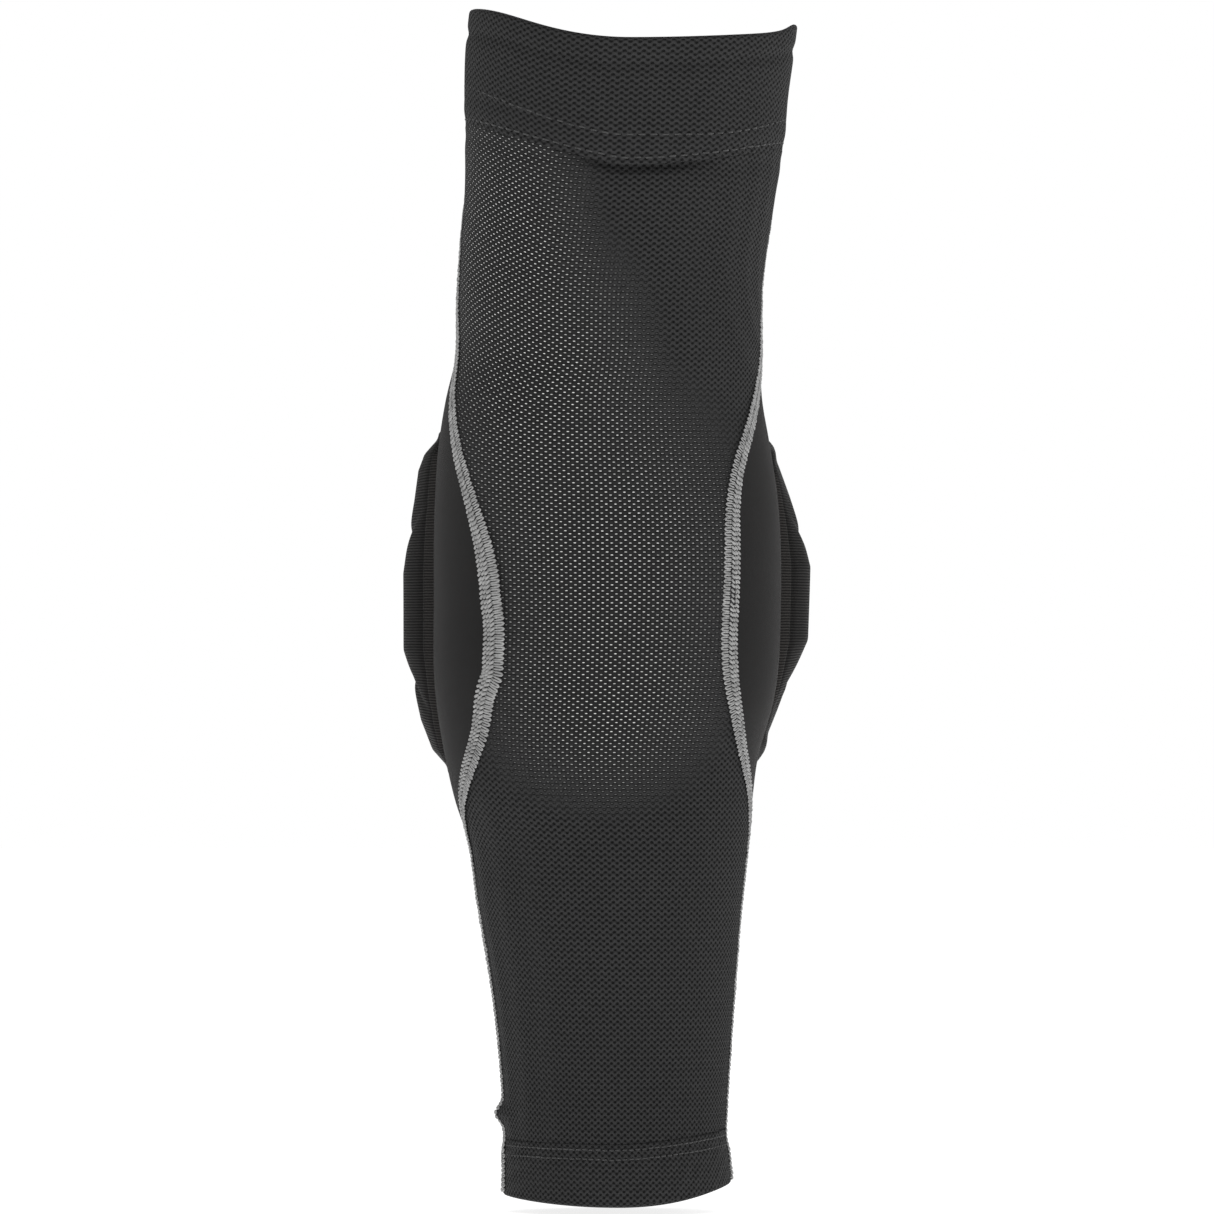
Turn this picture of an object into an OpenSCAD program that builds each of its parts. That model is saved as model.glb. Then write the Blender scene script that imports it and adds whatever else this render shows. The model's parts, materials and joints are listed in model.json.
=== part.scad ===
// Padded compression elbow sleeve, in its worn shape.
// +Z runs up the arm towards the shoulder, -Y is the inner elbow, +Y the point of the elbow.
// The origin is the centre of the lower cuff's grip band. Shapes are worked out from the middle of
// the elbow and then moved there. Angles round the arm start at the inner elbow (-Y) and grow
// towards +X, so 90 is the +X side and 180 is the back, where the pad sits.

/* [Sleeve] */
// Height of the upper rim above the elbow
upper_length = 172; // [160:1:185]
// Depth of the lower rim below the elbow
lower_length = 179; // [165:1:190]
// Radius of the upper cuff, outside the fabric
upper_cuff_r = 48.6; // [46:0.1:52]
// Radius of the lower cuff, outside the fabric
lower_cuff_r = 34.4; // [32:0.1:37]
// Half-width of the sleeve at the elbow
elbow_half_w = 52.2; // [49:0.1:56]
// Depth of the sleeve in front of the middle of the elbow
elbow_front = 38.5; // [36:0.1:42]
// Depth of the sleeve behind the middle of the elbow
elbow_back = 44.5; // [42:0.1:48]
// Lean of the upper cuff towards +X, in degrees
cuff_lean = 5; // [3:0.5:6]
// Thickness of the sleeve fabric
fabric_t = 1.1; // [0.8:0.1:1.3]

/* [Seams] */
// How far the left seam runs in front of the side line at the elbow, in degrees
left_seam_reach = 48; // [40:1:52]
// How far the right seam runs in front of the side line at the elbow, in degrees
right_seam_reach = 45; // [40:1:52]
// Width of a flatlock seam
seam_w = 5.4; // [4:0.1:6]
// Height of the seam thread above the fabric
seam_t = 0.8; // [0.5:0.1:1.2]

/* [Cuffs] */
// Depth of the upper hem
upper_hem = 34; // [30:1:38]
// Depth of the lower hem
lower_hem = 16; // [14:1:20]
// Width of the silicone grip bands
grip_w = 14; // [10:1:15]

/* [Pad] */
// Thickness of the pad at the point of the elbow
pad_t = 20; // [16:0.5:24]
// Thickness of the pad at its side edges
pad_edge_t = 13; // [10:0.5:14]
// Half the height of the whole pad at its side edges
pad_side_h = 46; // [42:1:50]
// Extra half-height of the pad along the middle of the back
pad_crown_h = 14; // [6:1:18]
// Angle round the arm where the pad starts, measured from the inner elbow
pad_start = 106; // [102:1:112]
// Thickness of the pad cover
cover_t = 1; // [0.8:0.1:1.2]

/* [Motion] */
// Pivot line behind (+) or in front (-) of the middle of the elbow
pivot_y = -6; // [-8:0.5:-4]
// Half the height of the elbow cup
cup_half_h = 18; // [16:0.5:20]
// Half-angle of the wedge, seen from the pivot, in which the cup's borders start
cup_wedge = 58; // [52:1:59]
// Half-angle of the soft wedge at the inner elbow that creases when the arm bends
crease_wedge = 62; // [61.5:0.5:64]

/* [Hidden] */
gap = 0.4;              // clearance between pieces that move apart
ply_gap = 0.15;         // clearance between stacked round layers
facet_gap = 0.45;       // clearance between stacked layers whose facets differ
facing_t = 0.7;         // turned-in hem fabric
elastic_t = 0.6;        // flat elastic inside a hem
grip_t = 0.75;          // silicone grip band
thread_r = 0.35;        // hem stitching thread
liner_t = 0.7;          // pad liner
pad_overhang = 0.3;     // the liner's stand-off from the sleeve
ring_facets = 120;      // facets of the true round bands
settle_steps = 6;       // passes that place a point between two curved borders
hem_margin = 2;         // from a hem's edge to its first row of stitches or its elastic
lower_cuff_lift = 5;    // from the lower rim to the lower cuff's linings

// The sleeve's cross-sections: height, centre in X, half-width, depth in front, depth behind.
cuff_base = 120;
lean_slope = tan(cuff_lean);
cuff_base_x = 3.75;
function cuff_x(z) = cuff_base_x + (z - cuff_base) * lean_slope;
wrist_x = 2.7;

// The part's origin, seen from the middle of the elbow.
reference = [wrist_x, 0, -lower_length + lower_cuff_lift + hem_margin / 2 + grip_w / 2];
module from_reference() { translate(-reference) children(); }

SECTIONS = [
    [-lower_length - 6, wrist_x, lower_cuff_r, lower_cuff_r, lower_cuff_r],
    [-150, wrist_x, lower_cuff_r, lower_cuff_r, lower_cuff_r],
    [-120, 2.0, 36.5, 36, 36.5],
    [-90, 0.9, 40.1, 38, 40],
    [-75, 0.4, 41.8, 38.5, 41],
    [-62, -0.8, 44.2, elbow_front, 42],
    [-48, -1.2, 47.3, elbow_front, 43],
    [-30, -0.6, elbow_half_w - 1.4, elbow_front, elbow_back - 0.5],
    [0, 0.3, elbow_half_w, elbow_front, elbow_back],
    [30, -0.4, elbow_half_w - 0.8, elbow_front + 1, elbow_back],
    [54, -0.8, 48.4, 41, 45],
    [72, 0.3, 46.1, 42.5, 45.5],
    [90, 0.9, 45.9, 44, 46],
    [cuff_base, cuff_base_x, 47.4, 46.8, 47.4],
    [140, cuff_x(140), upper_cuff_r, upper_cuff_r, upper_cuff_r],
    [upper_length + 8, cuff_x(upper_length + 8), upper_cuff_r, upper_cuff_r, upper_cuff_r]
];

// ---- Smooth sections -------------------------------------------------------------------------

function clamp(value, low, high) = min(high, max(low, value));

// The last section at or below a height.
function section_at(z, i = 0) =
    i >= len(SECTIONS) - 2 || z < SECTIONS[i + 1][0] ? i : section_at(z, i + 1);

// Slope of column k at section i, from its neighbours.
function section_slope(i, k) =
    let (a = max(i - 1, 0), b = min(i + 1, len(SECTIONS) - 1))
    (SECTIONS[b][k] - SECTIONS[a][k]) / (SECTIONS[b][0] - SECTIONS[a][0]);

// Column k of the sections at height z, as a smooth cubic between sections.
function section_value(z, k) =
    let (
        i = section_at(z),
        low = SECTIONS[i],
        high = SECTIONS[i + 1],
        step = high[0] - low[0],
        t = clamp((z - low[0]) / step, 0, 1)
    )
    low[k] * (2 * t ^ 3 - 3 * t ^ 2 + 1) + high[k] * (3 * t ^ 2 - 2 * t ^ 3)
    + step * (section_slope(i, k) * (t ^ 3 - 2 * t ^ 2 + t) + section_slope(i + 1, k) * (t ^ 3 - t ^ 2));

// A point on the sleeve at an angle and height, a distance outside the fabric's outer face.
function skin(angle, z, out) =
    let (depth = cos(angle) > 0 ? section_value(z, 3) : section_value(z, 4))
    [
        section_value(z, 1) + (section_value(z, 2) + out) * sin(angle),
        -(depth + out) * cos(angle),
        z
    ];

// ---- Borders ---------------------------------------------------------------------------------

function fade(distance, width, power) = exp(-((abs(distance) / width) ^ power));

// Angle of each seam line from the inner elbow: on the side line, then swept forward at the elbow.
function right_seam(z) = 90 - right_seam_reach * fade(z - 2, z > 2 ? 59 : 57, 3.8);
function left_seam(z) = -90 + left_seam_reach * fade(z + 10, z > -10 ? 68 : 50, z > -10 ? 2.2 : 3);

// Rims: corners drawn up at the sides, dipped between them.
function upper_rim(angle) =
    upper_length - 2.5 + 8 * max(0, -sin(angle)) ^ 4 + 3 * max(0, sin(angle)) ^ 4 - 0.8 * abs(cos(angle));
function lower_rim(angle) =
    -lower_length - 2.5 * max(0, cos(angle)) + 2 * abs(sin(angle)) + 1.5 * sin(angle);

// Heights of the sector borders at depth y. Pieces on either side turn about the pivot line and stay clear.
function crease_plane(y) = tan(crease_wedge) * max(0, pivot_y - y);
// The cup's border leaves the pivot line at a slope and levels off at the cup's half-height.
function cup_plane(y) =
    let (rise = tan(cup_wedge) * max(0, y - pivot_y) / cup_half_h)
    cup_half_h * rise / (1 + rise ^ 4) ^ 0.25;
function sector_edge(y) = y < pivot_y ? crease_plane(y) : cup_plane(y);

// Outer border of the whole pad, above or below the elbow.
function pad_reach(angle) = pad_side_h + pad_crown_h * max(0, -cos(angle)) ^ 2;

// ---- Sheets ----------------------------------------------------------------------------------

// A grid point at shares u across and v up, between side borders left(z), right(z) and end borders
// low(angle, y), high(angle, y). Each pass moves it closer to where all four borders hold.
function settled(u, v, out, left, right, low, high, z, n = settle_steps) =
    let (
        angle = left(z) * (1 - u) + right(z) * u,
        y = skin(angle, z, out)[1],
        next_z = low(angle, y) * (1 - v) + high(angle, y) * v
    )
    n == 0 ? skin(angle, next_z, out) : settled(u, v, out, left, right, low, high, next_z, n - 1);

function shares(n) = [for (i = [0:n]) i / n];

// Grid of points; out(u, v) is the distance outside the fabric.
function grid(us, vs, out, left, right, low, high, start_z) =
    [for (v = vs, u = us) settled(u, v, out(u, v), left, right, low, high, start_z)];

function quad(a, b, c, d) = [[a, b, c], [a, c, d]];

// A closed solid between an outer and an inner grid of nu by nv points. Its rim faces are listed
// before or after the faces of the two grids.
module between(outer, inner, nu, nv, rims_first = false) {
    count = nu * nv;
    rims = [
        for (i = [0:nu - 2])
            let (a = i, b = i + 1, c = (nv - 1) * nu + i, d = c + 1)
            each concat(quad(a, b, b + count, a + count), quad(d, c, c + count, d + count)),
        for (j = [0:nv - 2])
            let (a = j * nu, b = a + nu, c = a + nu - 1, d = c + nu)
            each concat(quad(b, a, a + count, b + count), quad(c, d, d + count, c + count))
    ];
    cells = [
        for (j = [0:nv - 2], i = [0:nu - 2])
            let (a = j * nu + i, b = a + 1, c = b + nu, d = a + nu)
            each concat(quad(a, d, c, b), quad(a + count, b + count, c + count, d + count))
    ];
    faces = rims_first ? concat(rims, cells) : concat(cells, rims);
    from_reference() polyhedron(points = concat(outer, inner), faces = faces, convexity = 6);
}

// A sheet of even thickness whose inner face stands off the fabric's outer face.
module sheet(nu, nv, stand_off, thickness, left, right, low, high, start_z) {
    us = shares(nu);
    vs = shares(nv);
    between(
        grid(us, vs, function(u, v) stand_off + thickness, left, right, low, high, start_z),
        grid(us, vs, function(u, v) stand_off, left, right, low, high, start_z),
        nu + 1, nv + 1
    );
}

// Side borders, with the half-gap between neighbouring pieces taken off.
seam_gap_deg = 0.3;
mesh_left = function(z) left_seam(z) + seam_gap_deg;
mesh_right = function(z) right_seam(z) - seam_gap_deg;
back_left = function(z) right_seam(z) + seam_gap_deg;
back_right = function(z) 360 + left_seam(z) - seam_gap_deg;
function strip_half_deg(z) = (seam_w / 2) / section_value(z, 2) * 180 / PI;

above_sector = function(angle, y) sector_edge(y) + gap;
below_sector = function(angle, y) -sector_edge(y) - gap;
top_rim = function(angle, y) upper_rim(angle);
bottom_rim = function(angle, y) lower_rim(angle);

module fabric_sheet(nu, nv, left, right, low, high, start_z) {
    sheet(nu, nv, -fabric_t, fabric_t, left, right, low, high, start_z);
}

// ---- Sleeve ----------------------------------------------------------------------------------

knit_black = [0.16, 0.16, 0.165];
jersey_black = [0.19, 0.185, 0.185];
seam_grey = [0.48, 0.48, 0.48];

module mesh_panel_upper() {
    color(knit_black) fabric_sheet(16, 12, mesh_left, mesh_right, above_sector, top_rim, 110);
}

module mesh_panel_forearm() {
    color(knit_black) fabric_sheet(16, 12, mesh_left, mesh_right, bottom_rim, below_sector, -110);
}

// Between the two crease planes, and so between the seams there.
module mesh_panel_elbow() {
    color(knit_black)
        fabric_sheet(
            14, 8, mesh_left, mesh_right,
            function(angle, y) -crease_plane(y) + gap, function(angle, y) crease_plane(y) - gap, 0
        );
}

module back_panel_upper() {
    color(jersey_black) fabric_sheet(24, 12, back_left, back_right, above_sector, top_rim, 110);
}

module back_panel_forearm() {
    color(jersey_black) fabric_sheet(24, 12, back_left, back_right, bottom_rim, below_sector, -110);
}

// The back panel's share behind the elbow cup narrows to the pivot line at both sides.
cup_panel_start = 101;
cup_panel_gap = gap + facet_gap;
module back_panel_elbow() {
    color(jersey_black)
        fabric_sheet(
            20, 5, function(z) cup_panel_start, function(z) 360 - cup_panel_start,
            function(angle, y) -cup_plane(y) + cup_panel_gap, function(angle, y) cup_plane(y) - cup_panel_gap, 0
        );
}

// Jersey between a seam and the pivot line, inside the crease wedge.
gusset_end = 77;
module side_gusset_right() {
    color(jersey_black)
        fabric_sheet(
            6, 6, function(z) right_seam(z) + seam_gap_deg, function(z) gusset_end,
            function(angle, y) -crease_plane(y) + gap, function(angle, y) crease_plane(y) - gap, 0
        );
}

module side_gusset_left() {
    color(jersey_black)
        fabric_sheet(
            6, 6, function(z) -gusset_end, function(z) left_seam(z) - seam_gap_deg,
            function(angle, y) -crease_plane(y) + gap, function(angle, y) crease_plane(y) - gap, 0
        );
}

// ---- Seams -----------------------------------------------------------------------------------

// A flatlock seam is a flat strip of covering thread, laid over the joint of the two panels.
module seam_strip(line, nv, low, high, start_z) {
    sheet(
        2, nv, facet_gap, seam_t,
        function(z) line(z) - strip_half_deg(z), function(z) line(z) + strip_half_deg(z),
        low, high, start_z
    );
}

hem_end_gap = 3;
hem_row_gap = 8;
seam_top = function(angle, y) upper_rim(angle) - upper_hem - hem_row_gap;
seam_bottom = function(angle, y) lower_rim(angle) + hem_end_gap;
left_line = function(z) left_seam(z);
right_line = function(z) right_seam(z);

module left_seam_upper() { color(seam_grey) seam_strip(left_line, 14, above_sector, seam_top, 90); }
module right_seam_upper() { color(seam_grey) seam_strip(right_line, 14, above_sector, seam_top, 90); }
module left_seam_forearm() { color(seam_grey) seam_strip(left_line, 14, seam_bottom, below_sector, -90); }
module right_seam_forearm() { color(seam_grey) seam_strip(right_line, 14, seam_bottom, below_sector, -90); }

module elbow_seam(line) {
    color(seam_grey)
        seam_strip(
            line, 8,
            function(angle, y) -crease_plane(y) + gap, function(angle, y) crease_plane(y) - gap, 0
        );
}
module left_seam_elbow() { elbow_seam(left_line); }
module right_seam_elbow() { elbow_seam(right_line); }

// ---- Cuffs -----------------------------------------------------------------------------------

// A true round band; from and to are heights along the cuff's own axis.
module band(outer_r, thickness, from, to) {
    translate([0, 0, from])
        difference() {
            cylinder(h = to - from, r = outer_r, $fn = ring_facets);
            translate([0, 0, -1]) cylinder(h = to - from + 2, r = outer_r - thickness, $fn = ring_facets);
        }
}

module thread_ring(ring_r, height) {
    translate([0, 0, height])
        rotate_extrude($fn = ring_facets) translate([ring_r, 0]) circle(r = thread_r, $fn = 16);
}

// Cuff axes: the upper one leans with the arm, the lower one is upright and looks down.
upper_hem_z = upper_length - 4 - upper_hem;
module on_upper_cuff() {
    from_reference() translate([cuff_x(upper_hem_z), 0, upper_hem_z]) rotate([0, cuff_lean, 0]) children();
}

module on_lower_cuff() {
    from_reference() translate([wrist_x, 0, -lower_length + lower_cuff_lift]) children();
}

// Radii from the fabric inwards. A chord of the panel sags inwards by ply_sag at most.
ply_sag = 0.6;
upper_elastic_r = upper_cuff_r - fabric_t - ply_sag;
upper_facing_r = upper_elastic_r - elastic_t - ply_gap;
upper_grip_r = upper_facing_r - facing_t - ply_gap;
lower_elastic_r = lower_cuff_r - fabric_t - ply_sag;
lower_facing_r = lower_elastic_r - elastic_t - ply_gap;
lower_grip_r = lower_facing_r - facing_t - ply_gap;
grip_start = 8;
row_pitch = 7;
lower_row_pitch = 3;

module upper_hem_facing() {
    color(knit_black) on_upper_cuff() band(upper_facing_r, facing_t, 0, upper_hem - hem_margin);
}

module upper_hem_elastic() {
    color([0.2, 0.2, 0.2])
        on_upper_cuff() band(upper_elastic_r, elastic_t, row_pitch + hem_margin, upper_hem - 2 * hem_margin);
}

module upper_grip_band() {
    color([0.1, 0.1, 0.11]) on_upper_cuff() band(upper_grip_r, grip_t, grip_start, grip_start + grip_w);
}

module upper_hem_stitches() {
    color([0.22, 0.22, 0.22])
        on_upper_cuff()
            for (row = [0, 1]) thread_ring(upper_cuff_r + thread_r + ply_gap, hem_margin + row * row_pitch);
}

module lower_hem_facing() {
    color(knit_black) on_lower_cuff() band(lower_facing_r, facing_t, 0, lower_hem);
}

module lower_hem_elastic() {
    color([0.2, 0.2, 0.2])
        on_lower_cuff() band(lower_elastic_r, elastic_t, hem_margin / 2, lower_hem - lower_row_pitch - hem_margin);
}

module lower_grip_band() {
    color([0.1, 0.1, 0.11]) on_lower_cuff() band(lower_grip_r, grip_t, hem_margin / 2, hem_margin / 2 + grip_w);
}

// The rows run over the seam strips, so they stand outside them.
module lower_hem_stitches() {
    color([0.22, 0.22, 0.22])
        on_lower_cuff()
            for (row = [0, 1])
                thread_ring(
                    lower_cuff_r + facet_gap + seam_t + thread_r + ply_gap, lower_hem - hem_margin - row * lower_row_pitch
                );
}

// ---- Pad -------------------------------------------------------------------------------------

// Shares that crowd towards both ends, so that the pad's walls get their own rows.
function walled_shares(n) = concat([0, 0.03], [for (i = [0:n]) 0.08 + 0.84 * i / n], [0.97, 1]);

// Rises from 0 at a border to 1 within a share, as a quarter of a rounded square.
function shoulder(share, width) = (1 - (1 - clamp(share / width, 0, 1)) ^ 2.6) ^ (1 / 2.6);
function walls(u, v, u_width, v_width) =
    shoulder(min(u, 1 - u), u_width) * shoulder(min(v, 1 - v), v_width);

// Full thickness of the pad round the arm, before its walls.
function pad_depth(angle) =
    pad_edge_t + (pad_t - pad_edge_t) * max(0, -cos(angle)) ^ 1.5;

// A lobe thins towards the pad's outer end: end is 1 for the upper lobe, -1 for the lower, 0 for the cup.
end_taper = 0.34;
function taper(v, end) = 1 - end_taper * abs(end) * (end > 0 ? v : 1 - v) ^ 2;

// One lobe of the pad: side borders shared, end borders its own. inset shrinks it all round.
pad_r = 56;
function inset_deg(inset) = inset / pad_r * 180 / PI;

// rise is the height of its edge, before the dome starts.
module pad_layer(low, high, start_z, inner_base, outer_drop, inner_drop, outer_inset, inner_inset, domed, end, rise) {
    us = walled_shares(12);
    vs = walled_shares(4);
    function profile(u, v, drop, inset) =
        let (angle = pad_start + inset_deg(inset) + u * (360 - 2 * pad_start - 2 * inset_deg(inset)))
        let (wall = walls(u, v, 0.1, 0.3))
        inner_base + rise * (1 - wall) + wall * (pad_depth(angle) * taper(v, end) - inner_base - drop);
    function side(inset) = function(z) pad_start + inset_deg(inset);
    function far_side(inset) = function(z) 360 - pad_start - inset_deg(inset);
    function low_in(inset) = function(angle, y) low(angle, y) + inset;
    function high_in(inset) = function(angle, y) high(angle, y) - inset;
    between(
        grid(
            us, vs, function(u, v) profile(u, v, outer_drop, outer_inset),
            side(outer_inset), far_side(outer_inset), low_in(outer_inset), high_in(outer_inset), start_z
        ),
        grid(
            us, vs, domed ? function(u, v) profile(u, v, inner_drop, inner_inset) : function(u, v) inner_base,
            side(inner_inset), far_side(inner_inset), low_in(inner_inset), high_in(inner_inset), start_z
        ),
        len(us), len(vs), domed
    );
}

liner_base = pad_overhang;
foam_base = liner_base + liner_t + facet_gap;
foam_edge = 0.6;
wall_t = 1.8 * cover_t;
stitch_side = 1.6;
stitch_rise = 0.6;

module pad_liner(low, high, start_z) {
    color([0.14, 0.14, 0.14])
        sheet(
            16, 4, liner_base, liner_t, function(z) pad_start, function(z) 360 - pad_start, low, high, start_z
        );
}

module pad_foam(low, high, start_z, end = 0) {
    color([0.3, 0.3, 0.32])
        pad_layer(
            low, high, start_z, foam_base, cover_t + facet_gap, 0,
            wall_t + 2 * facet_gap, wall_t + 2 * facet_gap, false, end, foam_edge
        );
}

module pad_cover(low, high, start_z, end = 0) {
    color([0.15, 0.145, 0.14])
        pad_layer(low, high, start_z, foam_base, 0, cover_t, 0, wall_t, true, end, 0);
}

// A raised line of edge stitching on the sleeve beside each side of a lobe.
module pad_stitches(low, high, start_z) {
    strip = inset_deg(stitch_side);
    color([0.24, 0.24, 0.24])
        for (start = [pad_start - 2 * strip, 360 - pad_start + strip])
            sheet(2, 4, ply_gap, stitch_rise, function(z) start, function(z) start + strip, low, high, start_z);
}

above_cup = function(angle, y) cup_plane(y) + gap;
below_cup = function(angle, y) -cup_plane(y) - gap;
cup_floor = function(angle, y) -cup_plane(y) + gap;
cup_roof = function(angle, y) cup_plane(y) - gap;
pad_top = function(angle, y) pad_reach(angle);
pad_bottom = function(angle, y) -pad_reach(angle);

module upper_pad_liner() { pad_liner(above_cup, pad_top, 35); }
module upper_pad_foam() { pad_foam(above_cup, pad_top, 35, 1); }
module upper_pad_cover() { pad_cover(above_cup, pad_top, 35, 1); }
module upper_pad_stitches() { pad_stitches(above_cup, pad_top, 35); }
module elbow_cup_liner() { pad_liner(cup_floor, cup_roof, 0); }
module elbow_cup_foam() { pad_foam(cup_floor, cup_roof, 0); }
module elbow_cup_cover() { pad_cover(cup_floor, cup_roof, 0); }
module elbow_cup_stitches() { pad_stitches(cup_floor, cup_roof, 0); }
module lower_pad_liner() { pad_liner(pad_bottom, below_cup, -35); }
module lower_pad_foam() { pad_foam(pad_bottom, below_cup, -35, -1); }
module lower_pad_cover() { pad_cover(pad_bottom, below_cup, -35, -1); }
module lower_pad_stitches() { pad_stitches(pad_bottom, below_cup, -35); }

mesh_panel_upper();
mesh_panel_elbow();
mesh_panel_forearm();
back_panel_upper();
back_panel_elbow();
back_panel_forearm();
side_gusset_left();
side_gusset_right();
left_seam_upper();
left_seam_elbow();
left_seam_forearm();
right_seam_upper();
right_seam_elbow();
right_seam_forearm();
upper_hem_facing();
upper_hem_elastic();
upper_hem_stitches();
upper_grip_band();
lower_hem_facing();
lower_hem_elastic();
lower_hem_stitches();
lower_grip_band();
upper_pad_liner();
upper_pad_foam();
upper_pad_cover();
upper_pad_stitches();
elbow_cup_liner();
elbow_cup_foam();
elbow_cup_cover();
elbow_cup_stitches();
lower_pad_liner();
lower_pad_foam();
lower_pad_cover();
lower_pad_stitches();
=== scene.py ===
"""Padded compression elbow sleeve: the visual model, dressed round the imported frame.

Shapes are worked out in millimetres from the middle of the elbow: +Z up the arm, -Y the inner elbow,
+Y the padded side. Angles round the arm start at the inner elbow and grow towards +X, so 90 is the +X
side and 180 is the back.
"""
import json
import math

import bpy
import numpy as np
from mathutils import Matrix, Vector


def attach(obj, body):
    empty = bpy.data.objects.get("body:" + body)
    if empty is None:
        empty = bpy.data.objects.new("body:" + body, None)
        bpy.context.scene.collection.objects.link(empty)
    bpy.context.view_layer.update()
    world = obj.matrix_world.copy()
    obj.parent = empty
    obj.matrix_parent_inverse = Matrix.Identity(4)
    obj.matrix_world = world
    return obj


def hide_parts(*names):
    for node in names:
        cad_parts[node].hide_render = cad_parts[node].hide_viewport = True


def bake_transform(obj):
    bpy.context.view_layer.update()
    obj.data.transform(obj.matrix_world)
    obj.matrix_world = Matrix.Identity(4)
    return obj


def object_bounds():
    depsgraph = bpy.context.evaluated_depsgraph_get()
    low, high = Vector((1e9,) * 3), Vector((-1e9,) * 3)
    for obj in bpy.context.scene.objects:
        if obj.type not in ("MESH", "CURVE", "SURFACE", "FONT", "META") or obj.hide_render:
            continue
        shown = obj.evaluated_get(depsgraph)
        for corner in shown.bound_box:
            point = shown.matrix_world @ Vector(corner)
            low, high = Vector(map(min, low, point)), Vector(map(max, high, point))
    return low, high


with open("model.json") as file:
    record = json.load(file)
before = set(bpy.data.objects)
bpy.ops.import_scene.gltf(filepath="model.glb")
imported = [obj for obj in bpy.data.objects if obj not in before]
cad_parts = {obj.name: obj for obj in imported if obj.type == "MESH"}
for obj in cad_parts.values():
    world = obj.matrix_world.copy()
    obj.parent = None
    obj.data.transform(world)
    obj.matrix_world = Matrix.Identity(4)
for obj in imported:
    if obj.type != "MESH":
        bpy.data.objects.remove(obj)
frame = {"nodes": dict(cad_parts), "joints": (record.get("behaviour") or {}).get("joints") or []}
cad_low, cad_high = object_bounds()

MM = 0.001
FLEX = next(joint for joint in frame["joints"] if joint["name"] == "elbow_flex")
PIVOT_FORWARD = 6.0     # the pivot line lies this far in front of the middle of the elbow
ELBOW = np.array(FLEX["pos_m"]) + np.array([0, PIVOT_FORWARD * MM, 0])

# ---- The sleeve's shape ----

# Height, left edge, right edge, depth in front, depth behind.
SECTIONS = np.array([
    (-188, -31.4, 38.0, 34.6, 34.2),
    (-174, -31.2, 37.2, 34.4, 34.2),
    (-158, -31.3, 36.0, 34.1, 34.2),
    (-150, -31.6, 36.4, 34.0, 34.2),
    (-120, -34.4, 38.4, 36.0, 36.5),
    (-90, -39.2, 40.8, 38.0, 40.0),
    (-74, -41.6, 42.6, 38.5, 41.4),
    (-60, -46.2, 44.2, 38.5, 42.2),
    (-48, -49.0, 45.7, 38.5, 43.0),
    (-30, -51.9, 50.5, 38.5, 44.0),
    (0, -52.6, 52.8, 38.5, 44.5),
    (30, -52.4, 51.9, 39.5, 44.5),
    (48, -51.0, 49.2, 40.6, 45.0),
    (60, -49.0, 47.2, 41.6, 45.2),
    (74, -45.8, 46.7, 42.6, 45.5),
    (90, -45.2, 46.7, 44.0, 46.0),
    (120, -43.3, 50.7, 46.6, 47.2),
    (138, -42.7, 53.1, 48.0, 48.0),
    (150, -42.6, 54.0, 48.4, 48.4),
    (164, -42.3, 55.9, 48.6, 48.6),
    (184, -40.2, 58.2, 48.8, 48.8),
])


def section(z, column):
    """One column of the sections at height z, as a smooth cubic between sections."""
    heights, values = SECTIONS[:, 0], SECTIONS[:, column]
    slopes = np.gradient(values, heights)
    z = np.clip(z, heights[0], heights[-1])
    i = np.clip(np.searchsorted(heights, z, side="right") - 1, 0, len(heights) - 2)
    step = heights[i + 1] - heights[i]
    t = (z - heights[i]) / step
    return (
        values[i] * (2 * t**3 - 3 * t**2 + 1) + values[i + 1] * (3 * t**2 - 2 * t**3)
        + step * (slopes[i] * (t**3 - 2 * t**2 + t) + slopes[i + 1] * (t**3 - t**2))
    )


SEAM_PROUD = 0.45       # the outline includes the seams, which stand this far out at the sides
FOLD_Z = -154.0         # a small fold of the left seam near the wrist
FOLD_RISE = 2.4
FOLD_HEIGHT = 2.6
FOLD_SPREAD = 0.05      # how far it reaches from the side line, in sines of the angle


def skin(angle, z, out=0.0):
    """Points on the sleeve at angles in degrees and heights, a distance outside the fabric's face."""
    angle, z, out = np.broadcast_arrays(np.asarray(angle, float), np.asarray(z, float), out)
    turn = np.radians(angle)
    left, right = section(z, 1) + SEAM_PROUD, section(z, 2) - SEAM_PROUD
    at_fold = np.exp(-((z - FOLD_Z) / FOLD_HEIGHT) ** 2) * np.exp(-((np.sin(turn) + 1) / FOLD_SPREAD) ** 2)
    out = out + FOLD_RISE * at_fold
    depth = np.where(np.cos(turn) > 0, section(z, 3), section(z, 4))
    x = (left + right) / 2 + ((right - left) / 2 + out) * np.sin(turn)
    y = -(depth + out) * np.cos(turn)
    return np.stack([x, y, z], axis=-1)


def outward(angle, z):
    """Unit vectors pointing away from the arm."""
    span = skin(angle, z, 1.0) - skin(angle, z, 0.0)
    return span / np.linalg.norm(span, axis=-1, keepdims=True)


def travelled(points, axis=0):
    """Distance along lines of points, from the first point of each."""
    steps = np.linalg.norm(np.diff(points, axis=axis), axis=-1)
    start = np.zeros_like(np.take(steps, [0], axis=axis))
    return np.concatenate([start, np.cumsum(steps, axis=axis)], axis=axis)


ROUND_SAMPLES = 721


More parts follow.
